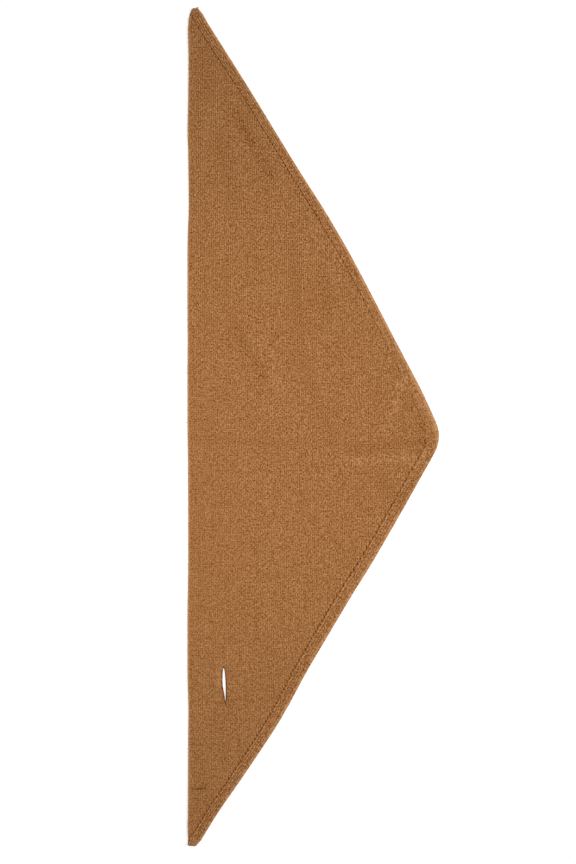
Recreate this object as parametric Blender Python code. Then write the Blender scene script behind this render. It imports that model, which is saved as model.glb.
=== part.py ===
"""Triangle shawl: a knitted jersey triangle lying flat, face side up.

It is knitted from tip to tip in one piece. The long straight edge is one selvedge, and
stitches are added and then taken away at the other side, inside a narrow border whose
wales follow the slanted edge. A slit near the lower tip takes the other end of the shawl
when it is worn.

Frame: metres, +Z up. X runs across the shawl, from the straight edge to the wide corner.
Y runs along the straight edge, towards the upper tip. The origin is under the middle of
the shawl, on the surface that it lies on.

Places on the cloth are given in millimetres, as the distance across from the straight
edge and the distance down from the upper tip.
"""

import math

import bmesh
import bpy

MM = 0.001

# Driving sizes, in millimetres
LENGTH = 1500.0  # upper tip to lower tip
DEPTH = 450.0  # straight edge to wide corner
WALL = 2.5  # jersey lying flat
SEAM_GAP = 0.3  # between the panel and a border, and between the borders
COLUMN_STEP = 10.1  # across the panel, so that the slit lies between two columns
LINE_DIP = 0.4  # the fashioning line lies this much below the face
BORDER_WALES = 3  # between the fashioning line and the rolled edge
WALE_RIDGE = 0.5  # how far a border wale stands up
ROLL_SHARE = 0.35  # of a border's width, taken by the rolled edge
ROLL_HEIGHT = 4.0
ROLL_UNDERCUT = 1.2  # the roll curves in this much to where it rests
ROLL_TURNS = (50, 90, 130, 160)  # degrees round the roll, a row of points at each
SELVEDGE = ((0.0, 1.2), (0.9, 2.6), (2.8, 3.0))  # inset and height, as the straight edge curls
SELVEDGE_UNDERCUT = 0.8
CORNER_STATIONS = 5  # sections of each border round the wide corner
CORNER_ROWS = 2  # rows of the panel between the widening and the narrowing

# The straight edge wanders, and it curves in at the tips. Columns: distance down, distance
# across
STRAIGHT_EDGE = (
    (8, 4.8),
    (13, 3.2),
    (20, 2.1),
    (28, 0.9),
    (45, 0.9),
    (90, 1.9),
    (180, 1.0),
    (219, 0.0),
    (258, 1.3),
    (362, 2.2),
    (398, 0.8),
    (440, 0.0),
    (560, 0.0),
    (590, 0.4),
    (650, 0.0),
    (760, 0.0),
    (800, 0.9),
    (1000, 1.35),
    (1080, 0.1),
    (1190, 0.1),
    (1257, 1.8),
    (1300, 1.3),
    (1440, 0.8),
    (1458, 0.1),
    (1474, 0.3),
    (1488, 1.1),
    (1497, 0.4),
)

# The slanted side. Columns: distance down, distance across. The first and last rows are
# where its straight run would meet the tips if they were not rounded
SIDE = (
    (-6, 16.6),
    (12, 27.8),
    (20, 32.0),
    (30, 37.9),
    (78, 68.3),
    (148, 112.3),
    (219, 155.7),
    (291, 200),
    (362, 245),
    (434, 287.4),
    (505, 325.2),
    (577, 362.6),
    (649, 400.3),
    (684, 418.8),
    (702, 426.8),
    (722, 436.2),
    (733, 441.4),
    (745, 446),
    (756, 449.2),
    (766, 450),
    (778, 448.6),
    (790, 445),
    (806, 437),
    (824, 426.6),
    (840, 417.4),
    (865, 403.7),
    (935, 364),
    (1007, 321.8),
    (1042, 299.6),
    (1078, 278),
    (1150, 235.4),
    (1185, 214.8),
    (1257, 175.8),
    (1293, 154.2),
    (1364, 107),
    (1400, 82.2),
    (1436, 57.2),
    (1472, 34.5),
    (1489, 24.4),
    (1506, 14),
)
WIDEST = 766.0  # distance down to the wide corner
CORNER_REACH = 26.0  # the corner's round part, to each side of it

# Width of the borders, square to the outline. Columns: distance down, width
BORDER_WIDTH = (
    (-10, 18.6),
    (45, 19.2),
    (85, 18.6),
    (150, 16.8),
    (240, 16.6),
    (340, 17.7),
    (460, 17.7),
    (570, 17.4),
    (657, 20.4),
    (740, 21.3),
    (880, 21.8),
    (980, 22.1),
    (1087, 23.2),
    (1194, 22.7),
    (1302, 20.9),
    (1391, 19.0),
    (1510, 18.4),
)

# The round ends of the borders, as sections from the panel's tip outwards. Columns: near
# end across and down, far end across and down
UPPER_TIP = (
    (4.2, 9.9, 21.6, 4.6),
    (5.6, 6.2, 19.9, 2.2),
    (7.3, 3.0, 18.0, 0.6),
    (9.4, 0.5, 15.6, 0.0),
)
LOWER_TIP = (
    (1.1, 1486.5, 24.4, 1489.4),
    (0.5, 1493.0, 20.4, 1493.2),
    (0.3, 1497.0, 16.8, 1497.2),
    (2.4, 1499.5, 14.2, 1500.0),
)

# The slit. Columns: distance down, its near side and its far side
SLIT = (
    (1180.0, 64.6, 64.6),
    (1184.5, 63.4, 66.2),
    (1191.0, 62.6, 67.7),
    (1198.0, 62.4, 68.9),
    (1205.0, 62.4, 69.5),
    (1212.0, 63.0, 69.8),
    (1219.0, 64.0, 69.8),
    (1226.0, 65.2, 69.6),
    (1233.0, 66.3, 69.3),
    (1240.0, 67.1, 68.8),
    (1248.0, 67.6, 67.6),
)
SLIT_CUTTER_HEIGHT = 20.0

# Soft folds left from storage. Columns: start across and down, end across and down, half
# width, and height, which is negative for a trough
FOLDS = (
    (86, 190, 146, 298, 14, -0.80),
    (30, 90, 34, 150, 18, -0.30),
    (54, 237, 80, 350, 13, -0.40),
    (184, 416, 198, 590, 13, -0.40),
    (200, 620, 256, 770, 13, -0.35),
    (238, 484, 250, 552, 12, -0.60),
    (84, 562, 130, 656, 13, -0.85),
    (114, 566, 158, 668, 15, 0.65),
    (386, 668, 354, 748, 13, 0.70),
    (408, 700, 434, 778, 13, -0.80),
    (6, 771, 150, 779, 12, -0.50),
    (150, 779, 290, 783, 12, -0.30),
    (290, 791, 425, 777, 12, -0.80),
    (276, 819, 420, 801, 12, 0.75),
    (342, 842, 376, 886, 13, -0.45),
    (54, 1188, 54, 1222, 12, 0.60),
)

JERSEY_COLOUR = (0.356, 0.153, 0.054, 1.0)
BORDER_COLOUR = (0.342, 0.142, 0.049, 1.0)
ROUGHNESS = 0.92
SHARP_ANGLE = math.radians(40)


def clear_scene():
    for thing in list(bpy.data.objects):
        bpy.data.objects.remove(thing, do_unlink=True)


def curve_through(table, at):
    """The smooth curve through a table's rows, read at one value of its first column."""
    row = 0
    while row < len(table) - 2 and at > table[row + 1][0]:
        row += 1
    before, start = table[max(row - 1, 0)], table[row]
    end, after = table[row + 1], table[min(row + 2, len(table) - 1)]
    span = end[0] - start[0]
    share = min(max((at - start[0]) / span, 0.0), 1.0)
    slope_in = (end[1] - before[1]) / (end[0] - before[0]) * span
    slope_out = (after[1] - start[1]) / (after[0] - start[0]) * span
    return (
        (2 * share**3 - 3 * share**2 + 1) * start[1]
        + (share**3 - 2 * share**2 + share) * slope_in
        + (3 * share**2 - 2 * share**3) * end[1]
        + (share**3 - share**2) * slope_out
    )


def straight_edge(down):
    """Where the straight edge really lies, as distance across."""
    return max(curve_through(STRAIGHT_EDGE, down), 0.0)


def fashioning_point(down):
    """The point of the fashioning line that is square in from one point of the side."""
    reach = 4.0
    slope = (curve_through(SIDE, down + reach) - curve_through(SIDE, down - reach)) / (2 * reach)
    width = curve_through(BORDER_WIDTH, down) / math.hypot(1.0, slope)
    return curve_through(SIDE, down) - width, down + slope * width


def find_station(column, low, high):
    """The place on the side whose fashioning point lies on one column of the panel."""
    rising = fashioning_point(high)[0] > fashioning_point(low)[0]
    for _ in range(50):
        middle = 0.5 * (low + high)
        if (fashioning_point(middle)[0] < column) == rising:
            low = middle
        else:
            high = middle
    return 0.5 * (low + high)


def fold_height(across, down):
    """Height of the soft folds at a point of the cloth."""
    height = 0.0
    for x0, y0, x1, y1, half_width, crest in FOLDS:
        run = math.hypot(x1 - x0, y1 - y0)
        along = ((across - x0) * (x1 - x0) + (down - y0) * (y1 - y0)) / run
        aside = ((across - x0) * (y1 - y0) - (down - y0) * (x1 - x0)) / run
        beyond = max(-along, along - run, 0.0)
        height += crest * math.exp(-((aside / half_width) ** 2) - (beyond / half_width) ** 2)
    return height


def vertex(mesh, across, down, height):
    """A vertex of a mesh, from cloth sizes to the part's frame in metres."""
    return mesh.verts.new(((across - DEPTH / 2) * MM, (LENGTH / 2 - down) * MM, height * MM))


def fabric(name, colour):
    material = bpy.data.materials.new(name)
    material.use_nodes = True
    shader = material.node_tree.nodes["Principled BSDF"]
    shader.inputs["Base Color"].default_value = colour
    shader.inputs["Roughness"].default_value = ROUGHNESS
    shader.inputs["Metallic"].default_value = 0.0
    return material


def add_object(name, mesh):
    """Turn a bmesh into an object with its faces pointing out."""
    bmesh.ops.recalc_face_normals(mesh, faces=mesh.faces)
    data = bpy.data.meshes.new(name)
    mesh.to_mesh(data)
    mesh.free()
    thing = bpy.data.objects.new(name, data)
    bpy.context.scene.collection.objects.link(thing)
    return thing


def dress(thing, material):
    thing.data.materials.append(material)
    thing.data.shade_smooth()
    thing.data.set_sharp_from_angle(angle=SHARP_ANGLE)


def join_rows(mesh, first, second):
    """Faces between two rows of vertices, the longer one by at most one at its end."""
    shared = min(len(first), len(second))
    for left in range(shared - 1):
        mesh.faces.new((first[left], first[left + 1], second[left + 1], second[left]))
    if len(first) > len(second):
        mesh.faces.new((first[-2], first[-1], second[-1]))
    if len(second) > len(first):
        mesh.faces.new((first[-1], second[-1], second[-2]))


def find_stations():
    """The places on the side that fix the rows, for the widening and the narrowing half.

    As in the knitting, each row of the panel is one column wider than the last one up to
    the wide corner, and one column narrower after it, so every row ends on a column.
    """
    last_widening = WIDEST - CORNER_REACH
    first_narrowing = WIDEST + CORNER_REACH
    widest = min(fashioning_point(last_widening)[0], fashioning_point(first_narrowing)[0])
    columns = range(1, int(widest / COLUMN_STEP) + 1)
    widening = [find_station(k * COLUMN_STEP, SIDE[0][0], last_widening) for k in columns]
    narrowing = [find_station(k * COLUMN_STEP, SIDE[-1][0], first_narrowing) for k in columns]
    return widening, narrowing[::-1]


def panel_row(mesh, end, down, columns):
    """One row of the panel's face, from the straight edge to the fashioning line."""
    start = straight_edge(down)
    row = [vertex(mesh, start + inset, down, height) for inset, height in SELVEDGE]
    for column in range(1, columns + 1):
        across = start + (end - start) * column / columns
        dip = LINE_DIP if column == columns else 0.0
        row.append(vertex(mesh, across, down, WALL - dip + fold_height(across, down)))
    underside = (
        vertex(mesh, start + SELVEDGE_UNDERCUT, down, 0.0),
        vertex(mesh, end, down, 0.0),
    )
    return row, underside


def body_panel(widening, narrowing):
    """The jersey triangle, with a flat underside."""
    mesh = bmesh.new()
    widest = len(widening)
    places = [(*fashioning_point(s), k + 1) for k, s in enumerate(widening)]
    after = [(*fashioning_point(s), widest - k) for k, s in enumerate(narrowing)]
    end, top_down = places[-1][:2]
    for step in range(1, CORNER_ROWS + 1):
        share = step / (CORNER_ROWS + 1)
        places.append((end, top_down * (1 - share) + after[0][1] * share, widest))
    rows = [panel_row(mesh, *place) for place in places + after]
    for (top, under), (next_top, next_under) in zip(rows, rows[1:]):
        join_rows(mesh, top, next_top)
        mesh.faces.new((under[0], next_under[0], next_under[1], under[1]))
        mesh.faces.new((top[0], next_top[0], next_under[0], under[0]))
        mesh.faces.new((top[-1], under[1], next_under[1], next_top[-1]))
    for (top, under), tip in ((rows[0], UPPER_TIP[0]), (rows[-1], LOWER_TIP[0])):
        across, down = tip[:2]
        point = vertex(mesh, across, down, WALL - LINE_DIP)
        foot = vertex(mesh, across, down, 0.0)
        for left, right in zip(top, top[1:]):
            mesh.faces.new((point, left, right))
        mesh.faces.new((foot, under[1], under[0]))
        mesh.faces.new((point, foot, under[0], top[0]))
        mesh.faces.new((point, top[-1], under[1], foot))
    return add_object("body_panel", mesh)


def cut_slit(panel):
    """Cut the slit through the panel with a prism of the slit's outline."""
    mesh = bmesh.new()
    ring = [(near, down) for down, near, _ in SLIT] + [(far, down) for down, _, far in SLIT[-2:0:-1]]
    low, high = (
        [vertex(mesh, across, down, side * SLIT_CUTTER_HEIGHT / 2) for across, down in ring]
        for side in (-1, 1)
    )
    mesh.faces.new(low)
    mesh.faces.new(high)
    for n in range(len(ring)):
        m = (n + 1) % len(ring)
        mesh.faces.new((low[n], low[m], high[m], high[n]))
    cutter = add_object("slit_cutter", mesh)
    cutter.hide_render = True
    cutter.display_type = "WIRE"
    cut = panel.modifiers.new("slit", "BOOLEAN")
    cut.operation = "DIFFERENCE"
    cut.solver = "EXACT"
    cut.object = cutter


def border_profile():
    """Section of a border. Columns: share of the way out from the fashioning line, height."""
    valley = WALL - LINE_DIP
    profile = []
    pitch = (1.0 - ROLL_SHARE) / BORDER_WALES
    for wale in range(BORDER_WALES):
        profile.append((wale * pitch, valley))
        profile.append(((wale + 0.3) * pitch, valley + WALE_RIDGE))
        profile.append(((wale + 0.7) * pitch, valley + WALE_RIDGE))
    profile.append((1.0 - ROLL_SHARE, valley))
    for turn in ROLL_TURNS:
        angle = math.radians(turn)
        share = 1.0 - ROLL_SHARE * (0.5 + 0.5 * math.cos(angle))
        profile.append((share, valley + (ROLL_HEIGHT - valley) * math.sin(angle)))
    profile.append((1.0, ROLL_HEIGHT * 0.4))
    return profile


def border_section(mesh, route):
    """One section of a border. route gives the point at a share of the way out."""
    section = []
    for share, height in border_profile():
        across, down = route(share)
        lift = fold_height(across, down) if share < 1.0 else 0.0
        section.append(vertex(mesh, across, down, height + lift))
    inner, outer = route(0.0), route(1.0)
    width = math.hypot(outer[0] - inner[0], outer[1] - inner[1])
    rest = route(1.0 - ROLL_UNDERCUT / width)
    section.append(vertex(mesh, *rest, 0.0))
    section.append(vertex(mesh, *inner, 0.0))
    return section


def straight_route(inner, outer):
    """The way straight across a border, starting clear of the panel."""
    width = math.hypot(outer[0] - inner[0], outer[1] - inner[1])
    first = SEAM_GAP / width

    def route(share):
        part = first + (1.0 - first) * share
        return inner[0] + (outer[0] - inner[0]) * part, inner[1] + (outer[1] - inner[1]) * part

    return route


def border(name, stations, tip, corner):
    """A fashioned border, from its tip to the widest row.

    corner gives the panel's end and the side's round part, as inner and outer points.
    """
    mesh = bmesh.new()
    routes = [straight_route(end[:2], end[2:]) for end in reversed(tip)]
    for station in stations:
        outer = (curve_through(SIDE, station), station)
        routes.append(straight_route(fashioning_point(station), outer))
    routes += [straight_route(inner, outer) for inner, outer in corner]
    sections = [border_section(mesh, route) for route in routes]
    for section, following in zip(sections, sections[1:]):
        for n in range(len(section)):
            m = (n + 1) % len(section)
            mesh.faces.new((section[n], section[m], following[m], following[n]))
    mesh.faces.new(sections[0])
    mesh.faces.new(sections[-1])
    return add_object(name, mesh)


def corner_stations(widening, narrowing):
    """Sections round the wide corner, for the upper and for the lower border."""
    inner_start, inner_end = fashioning_point(widening[-1]), fashioning_point(narrowing[0])
    middle = 0.5 * (inner_start[1] + inner_end[1])
    halves = []
    for start, station, turn in ((inner_start, widening[-1], -1), (inner_end, narrowing[0], 1)):
        half = []
        for step in range(1, CORNER_STATIONS + 1):
            share = step / CORNER_STATIONS
            clear = 0.5 * SEAM_GAP * turn * share
            inner = (start[0], start[1] + (middle - start[1]) * share + clear)
            down = station + (WIDEST - station) * share
            half.append((inner, (curve_through(SIDE, down), down + clear)))
        halves.append(half)
    return halves


def main():
    clear_scene()
    widening, narrowing = find_stations()
    upper_corner, lower_corner = corner_stations(widening, narrowing)
    jersey = fabric("camel_jersey", JERSEY_COLOUR)
    band = fabric("camel_border", BORDER_COLOUR)
    panel = body_panel(widening, narrowing)
    cut_slit(panel)
    dress(panel, jersey)
    dress(border("upper_border", widening, UPPER_TIP, upper_corner), band)
    dress(border("lower_border", narrowing[::-1], LOWER_TIP, lower_corner), band)


main()
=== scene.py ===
# %% [markdown]
# A triangle shawl, knitted in camel yarn, laid flat and seen from straight above.
# The CAD model fixes its outline, its slit and its thickness. This script dresses it: it
# knits a panel and a border over the solids, wale by wale, then adds the stitches that a
# maker puts in by hand, the fuzz of the yarn, and the light.

# %% Load the frame
import bisect
import math
import random

import bpy
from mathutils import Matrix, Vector
from mathutils.bvhtree import BVHTree


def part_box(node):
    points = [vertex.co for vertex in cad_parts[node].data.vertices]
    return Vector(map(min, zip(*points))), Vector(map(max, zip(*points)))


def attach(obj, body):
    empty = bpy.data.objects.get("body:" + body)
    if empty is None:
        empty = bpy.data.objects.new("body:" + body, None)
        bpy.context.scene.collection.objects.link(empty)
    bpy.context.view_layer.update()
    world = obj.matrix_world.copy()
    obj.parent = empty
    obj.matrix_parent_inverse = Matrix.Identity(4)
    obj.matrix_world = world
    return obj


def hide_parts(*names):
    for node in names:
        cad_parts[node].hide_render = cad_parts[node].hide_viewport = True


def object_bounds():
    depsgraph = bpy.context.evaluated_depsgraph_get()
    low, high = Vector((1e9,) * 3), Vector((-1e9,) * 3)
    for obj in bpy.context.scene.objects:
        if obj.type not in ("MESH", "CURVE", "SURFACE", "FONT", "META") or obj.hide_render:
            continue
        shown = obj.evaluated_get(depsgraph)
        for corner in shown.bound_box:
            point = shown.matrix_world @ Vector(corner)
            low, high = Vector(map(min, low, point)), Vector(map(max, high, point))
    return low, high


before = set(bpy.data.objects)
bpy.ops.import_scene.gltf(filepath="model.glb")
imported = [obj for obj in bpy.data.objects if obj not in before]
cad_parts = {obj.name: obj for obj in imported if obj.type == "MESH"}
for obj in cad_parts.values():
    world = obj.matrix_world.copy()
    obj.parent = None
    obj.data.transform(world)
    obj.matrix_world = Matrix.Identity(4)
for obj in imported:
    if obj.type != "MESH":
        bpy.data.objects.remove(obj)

cad_low, cad_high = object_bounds()
MM = 0.001
HALF_DEPTH = round(cad_high[0] / MM)
HALF_LENGTH = round(cad_high[1] / MM)
print("CAD box in mm:", [round(x / MM, 1) for x in (*cad_low, *cad_high)])

# %% [markdown]
# The stitches give the shawl its scale. A wale is one upright column of stitches, and a
# course is one row. On this jersey a wale is 3.85 mm wide and a course 3.2 mm high, so the
# shawl is 117 wales across and 469 courses long. Everything below is counted in wales and
# courses, as a knitter would do. Places on the cloth are in millimetres, across from the
# straight edge and down from the upper tip.

# %% The gauge of the knitting
WALE = 3.85 * MM
COURSE = 3.2 * MM
THIRD = WALE / 3  # three points across a wale are the fewest that give it a crest
WALL = 2.3 * MM  # thickness of the jersey in the valleys between its wales
LINE_DIP = 0.2 * MM  # the fashioning line lies this much below the face


def cloth_y(down):
    """The frame's Y of a place on the cloth, from its distance down in millimetres."""
    return (HALF_LENGTH - down) * MM


def down_at(y):
    """How far down the cloth a place in the frame lies, in millimetres."""
    return HALF_LENGTH - y / MM


def wale_at(x):
    """The count of wales from the straight edge to a place in the frame."""
    return (x + HALF_DEPTH * MM) / WALE


def read_table(table, at, column=1):
    """One column of a table, read between two rows of its first column."""
    for before, after in zip(table, table[1:]):
        if at <= after[0]:
            rise = after[column] - before[column]
            return before[column] + rise * max(at - before[0], 0.0) / (after[0] - before[0])
    return table[-1][column]


# %% [markdown]
# The outline is read from the solids, so that it is never typed in twice. A level ray
# across a node meets its edges in order: the straight edge, the two sides of the slit
# where there is one, and the fashioning line. One ray for each row is enough.

# %% Read the outline from the solids
SEAM_BRIDGE = 1.0 * MM
PAST_EDGE = 0.02 * MM  # how far past one edge the search for the next one starts
# Heights of the rays over the floor
PANEL_RAY = 1.0 * MM
SELVEDGE_RAY = 1.2 * MM
BORDER_RAY = 1.55 * MM
graph = bpy.context.evaluated_depsgraph_get()
solids = {name: BVHTree.FromObject(node, graph) for name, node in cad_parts.items()}


def crossings(names, y, height):
    """Every x where a level line across the shawl meets some nodes, from left to right."""
    found = []
    for name in names:
        start = -1.0
        while True:
            hit = solids[name].ray_cast(Vector((start, y, height)), Vector((1, 0, 0)))[0]
            if hit is None:
                break
            found.append(hit.x)
            start = hit.x + PAST_EDGE
    return sorted(found)


def read_side(y):
    """Where one row meets the border. A row in the seam of the two borders is bridged."""
    here, below, above = (
        crossings(["upper_border", "lower_border"], y + step, BORDER_RAY)
        for step in (0.0, -SEAM_BRIDGE, SEAM_BRIDGE)
    )
    if below and above:
        bridge = (below[-1] + above[-1]) / 2
        here = [*here, bridge] if not here or here[-1] < bridge else here
    return here or above or below


# The two lips of the slit lean into it. Columns: distance down, lean of the left lip, lean
# of the right lip, in millimetres
SLIT_LEAN = (
    (1180.0, 0.0, 0.0), (1185.0, 0.0, 0.2), (1196.0, 0.4, 1.3), (1206.0, 0.15, 1.55),
    (1228.0, 0.3, 1.3), (1236.0, 0.3, 1.1), (1248.0, 0.3, 0.3),
)
SLIT_LEAST = 0.5 * MM  # where less than this would be left open, the lips meet


def lean_in(sides, down):
    """The sides of the slit with their lean."""
    left_lean, right_lean = (read_table(SLIT_LEAN, down, lip) * MM for lip in (1, 2))
    return sides[0] + left_lean, sides[1] - right_lean


def read_row(y):
    """Where one row meets the straight edge, the slit, the fashioning line and the side.

    closed is the middle of the slit's lips, in a row where they meet.
    """
    side = read_side(y)
    row = {"y": y, "left": side[0], "line": None, "side": side[-1], "slit": None, "closed": None}
    panel = crossings(["body_panel"], y, PANEL_RAY)
    if panel:
        row["left"] = crossings(["body_panel"], y, SELVEDGE_RAY)[0]
        row["line"] = panel[-1]
    if len(panel) == 4:
        near, far = lean_in(panel[1:3], down_at(y))
        if far - near > SLIT_LEAST:
            row["slit"] = (near, far)
        else:
            row["closed"] = (near + far) / 2
    return row


middle = read_row(0.1)
print("at y 100 mm the row runs", {k: round(v / MM, 1) for k, v in middle.items() if v})

# %% [markdown]
# The cloth keeps soft folds from being stored: long shallow troughs and ridges, hardly more
# than a millimetre high. The table gives each one in millimetres on the cloth. Near
# the lower tip two rows of tacking stitches hold something on the hidden side. They pull
# the jersey in, so each row lies in a narrow trough of its own.

# %% The soft folds and the tacking troughs
# Columns: start across and down, end across and down, half width, height
FOLDS = (
    (86, 190, 146, 298, 11, -1.15),
    (30, 90, 34, 150, 18, -0.45),
    (54, 237, 80, 350, 12, -0.60),
    (184, 416, 198, 590, 11, -0.50),
    (200, 620, 256, 770, 11, -0.45),
    (238, 484, 250, 552, 10, -0.95),
    (232, 400, 262, 450, 14, 0.60),
    (84, 574, 134, 664, 9, -1.10),
    (124, 598, 158, 670, 18, 0.50),
    (388, 664, 356, 748, 9, 0.95),
    (390, 700, 378, 734, 8, -0.50),
    (414, 734, 425, 768, 10, -1.00),
    (6, 771, 150, 779, 7, -0.60),
    (150, 779, 290, 783, 8, -0.35),
    (296, 791, 425, 777, 9, -0.85),
    (280, 819, 420, 801, 9, 0.90),
    (342, 842, 376, 886, 13, -0.65),
    (54, 1188, 54, 1222, 8, 0.95),
)
DEEPEST_FOLD = 1.4  # where troughs cross, the cloth stops at this depth, above the floor
FOLD_PAINTED_SHADE = 0.09  # painted shade: each millimetre of a trough's depth darkens the colour, and each millimetre of a ridge's height paints it paler
# Columns: distance down, start and end across, depth
TACKS = (
    (1319.1, 4.3, 29.9, 0.8),
    (1397.6, 4.3, 30.8, 1.1),
)
TACK_HALF_WIDTH = 1.1
TACK_END = 1.5  # a trough runs out this far past each end of its row
SPENT = 9.0  # a fold isn't counted where it has shrunk by e to this power


def tack_depth(across, down):
    """Depth of the tacking troughs at a place on the cloth, in millimetres."""
    depth = 0.0
    for row, start, end, deepest in TACKS:
        beyond = max(start - across, across - end, 0.0)
        far = ((down - row) / TACK_HALF_WIDTH) ** 2 + (beyond / TACK_END) ** 2
        if far < SPENT:
            depth += deepest * math.exp(-far)
    return depth


def cloth_height(x, y):
    """Height of the folds and troughs at a point of the cloth, in metres."""
    across, down = x / MM + HALF_DEPTH, down_at(y)
    height = 0.0
    for x0, y0, x1, y1, half_width, crest in FOLDS:
        run = math.hypot(x1 - x0, y1 - y0)
        along = ((across - x0) * (x1 - x0) + (down - y0) * (y1 - y0)) / run
        aside = ((across - x0) * (y1 - y0) - (down - y0) * (x1 - x0)) / run
        beyond = max(-along, along - run, 0.0)
        far = (aside / half_width) ** 2 + (beyond / half_width) ** 2
        if far < SPENT:
            height += crest * math.exp(-far)
    return (max(height, -DEEPEST_FOLD) - tack_depth(across, down)) * MM


# %% [markdown]
# The border is shaped by moving stitches, a step that knitters call fashioning. Each
# moved stitch leaves a mark, and beside it a small pit that lies in shade, so the line
# between panel and border reads as a row of slanting dashes. The pits themselves are not
# modelled: their shade is painted into the colour as dark dashes, and the loops beside them
# are painted paler, as painted light. The marks come every second course near the tips,
# where the cloth grows quickly, and every third near the wide corner. Round the corner
# itself nothing is moved, so the line fades there.

# %% Where the fashioning marks fall
# Columns: distance down at the start and at the end, courses from mark to mark
MARK_RUNS = (
    (22.0, 416.0, 2),
    (416.0, 706.0, 3),
    (777.0, 1070.0, 3),
    (1070.0, 1482.0, 2),
)
CORNER_DOWN = 762.0
# How clear the line is, and how clear the border's wales are. Columns: distance down, share
LINE_STRENGTH = (
    (14, 0.0), (24, 0.6), (110, 0.55), (170, 0.5), (250, 0.75), (350, 0.9), (480, 0.6),
    (600, 0.45), (715, 0.35), (740, 0.0), (771, 0.0), (779, 0.9), (1000, 0.9), (1080, 1.0),
    (1200, 1.0), (1390, 0.8), (1470, 0.85), (1492, 0.2),
)
RIB_STRENGTH = (
    (0, 0.3), (20, 1.0), (300, 0.9), (520, 0.4), (620, 0.2), (715, 0.1), (800, 0.15), (860, 0.5),
    (1500, 0.7),
)
marks = []
for start, end, courses in MARK_RUNS:
    count = round((end - start) / (courses * COURSE / MM))
    marks += [start + (end - start) * n / count for n in range(count)]
print(len(marks), "fashioning marks")


def line_strength(y):
    """How clear the fashioning line is at one row, from 0 to 1."""
    return read_table(LINE_STRENGTH, down_at(y))


def mark_count(y):
    """The count of fashioning marks at one row. It grows towards both tips."""
    down = down_at(y)
    place = min(max(bisect.bisect(marks, down), 1), len(marks) - 1)
    start, end = marks[place - 1], marks[place]
    count = place - 1 + (down - start) / (end - start)
    return count if down > CORNER_DOWN else -count


# %% [markdown]
# The panel could be one flat face with a picture of knitting, but then its edges would be
# paper sharp. Here it is a real shell. Each course is a row of points, three to a wale, so
# that a wale can stand up between two valleys. Rows of different length are zipped
# together, which is how the knitting itself grows. The shell closes under the cloth with
# long faces that lie flat on the floor.

# %% A shell that is knitted row by row
SAME_PLACE = 0.45 * MM  # two points of neighbouring rows that are this close are joined


def add_object(name, data):
    """A new object in the scene."""
    thing = bpy.data.objects.new(name, data)
    bpy.context.scene.collection.objects.link(thing)
    return thing


class Shell:
    """Points and faces of one knitted piece. Each point knows its wale and its course."""

    # One number that a point carries is its painted shade: above 0 it darkens the colour, below 0 it
    # paints light
    NAMES = ("wale", "course", "raised", "painted_shade", "aside", "ribs", "grain", "line", "mark")

    def __init__(self):
        self.points, self.faces = [], []
        self.values = {name: [] for name in self.NAMES}

    def point(self, x, y, z, wale, raised=0.0, painted_shade=0.0, aside=-50.0, ribs=1.0, grain=1.0):
        """Add a point. aside is how far it lies past the fashioning line, in millimetres."""
        self.points.append((x, y, z))
        row = (wale, y / COURSE, raised, painted_shade, aside, ribs, grain, line_strength(y), mark_count(y))
        for name, value in zip(self.NAMES, row):
            self.values[name].append(value)
        return len(self.points) - 1

    def zip_rows(self, lower, upper, downward=False):
        """Faces between two rows of points, matched by their place across the cloth."""
        i = j = 0
        while i < len(lower) - 1 or j < len(upper) - 1:
            next_i = self.points[lower[i + 1]][0] if i < len(lower) - 1 else math.inf
            next_j = self.points[upper[j + 1]][0] if j < len(upper) - 1 else math.inf
            if abs(next_i - next_j) < SAME_PLACE:
                face = (lower[i], lower[i + 1], upper[j + 1], upper[j])
                i, j = i + 1, j + 1
            elif next_i < next_j:
                face = (lower[i], lower[i + 1], upper[j])
                i += 1
            else:
                face = (lower[i], upper[j + 1], upper[j])
                j += 1
            self.faces.append(face[::-1] if downward else face)

    def build(self, name):
        """The finished mesh object, with its stitch counts as a UV map and attributes."""
        mesh = bpy.data.meshes.new(name)
        mesh.from_pydata(self.points, [], self.faces)
        for attribute, values in self.values.items():
            mesh.attributes.new(attribute, "FLOAT", "POINT").data.foreach_set("value", values)
        corners = [0] * len(mesh.loops)
        mesh.loops.foreach_get("vertex_index", corners)
        wales, courses = self.values["wale"], self.values["course"]
        flat = [count for c in corners for count in (wales[c], courses[c])]
        mesh.uv_layers.new(name="stitches").data.foreach_set("uv", flat)
        mesh.shade_smooth()
        return add_object(name, mesh)


# %% [markdown]
# A free edge of jersey is never cut square. Its outermost stitches turn over into a small
# round lip, with a narrow valley behind it. The same lip runs down the straight edge and
# round the slit. The straight edge's lip is painted paler, as painted light, and the slit's
# lips are painted darker, as painted shade where they shade each other.

# %% Points of one course
# Columns: distance in from the edge and height, in millimetres, share of the ribs left
# there, and the painted shade at the straight edge (below 0, so painted light) and at the slit
LIP = (
    (0.0, 1.1, 0.0, -0.4, 0.9),
    (0.45, 2.1, 0.2, -0.4, 0.7),
    (1.2, 2.6, 0.4, -0.35, 0.4),
    (2.2, 2.3, 0.3, -0.3, 0.25),
)
EDGE, SLIT, NO_LIP = 3, 4, 0  # the column of LIP that an end of a span uses
LIP_SHARE = 0.4  # a lip takes up no more than this share of a span
CLOSED_SLIT_SHADE = 0.9  # painted shade where the slit's lips meet
CLOSED_DIP = 0.3 * MM
SEAM = 0.15 * MM  # the panel ends this far before the fashioning line
LINE_RISE = 0.1 * MM  # its last stitches stand up this much beside the line's dip
UNDERCUT = 0.7 * MM
KEEP_CLEAR = 0.55 * THIRD
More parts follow.
